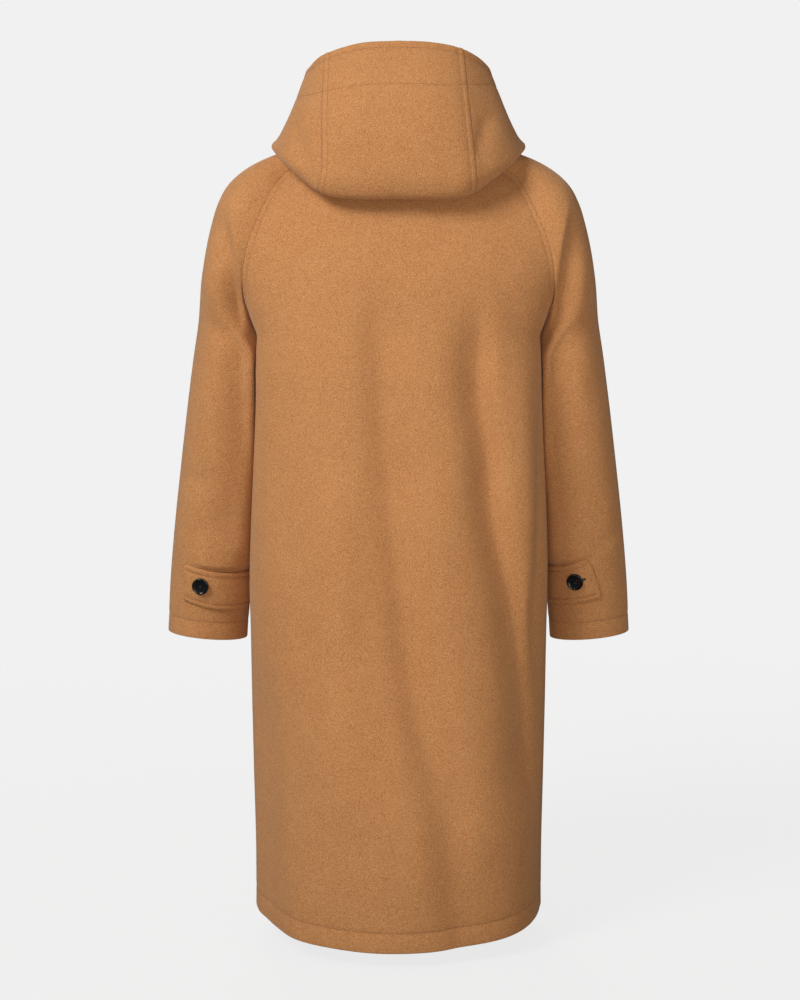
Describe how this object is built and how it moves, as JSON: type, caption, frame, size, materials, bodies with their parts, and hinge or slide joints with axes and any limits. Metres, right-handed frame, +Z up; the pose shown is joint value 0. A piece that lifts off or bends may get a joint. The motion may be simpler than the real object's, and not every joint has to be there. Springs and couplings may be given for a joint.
{
  "type": "duffle coat",
  "caption": "Long raglan duffle coat in thick camel wool, hollow as if worn, hood lying back, cuff tabs with round black buttons, toggle front.",
  "frame": {"origin": "middle of the neck, level with the top of the shoulders, where the wearer's shoulders and neck hold the coat", "axes": "+Z up, front towards -Y, back towards +Y, the wearer's left towards +X"},
  "size_m": [0.643, 0.3337, 1.1881],
  "materials": {
    "wool": "thick camel melton, softly brushed and heathered",
    "horn": "polished black, like dyed horn",
    "cord": "twisted dark cord"
  },
  "bodies": {
    "root": {"back": "wool", "front_left": "wool", "front_right": "wool", "sleeve_left": "wool", "sleeve_right": "wool", "hood_centre": "wool", "hood_side_left": "wool", "hood_side_right": "wool", "cuff_tab_left": "wool", "cuff_tab_right": "wool", "cuff_button_left": "horn", "cuff_button_right": "horn", "patch_left_1": "wool", "patch_right_1": "wool", "toggle_1": "horn", "toggle_cord_1": "cord", "toggle_loop_1": "cord", "patch_left_2": "wool", "patch_right_2": "wool", "toggle_2": "horn", "toggle_cord_2": "cord", "toggle_loop_2": "cord", "patch_left_3": "wool", "patch_right_3": "wool", "toggle_3": "horn", "toggle_cord_3": "cord", "toggle_loop_3": "cord", "patch_left_4": "wool", "patch_right_4": "wool", "toggle_4": "horn", "toggle_cord_4": "cord", "toggle_loop_4": "cord"}
  },
  "joints": []
}
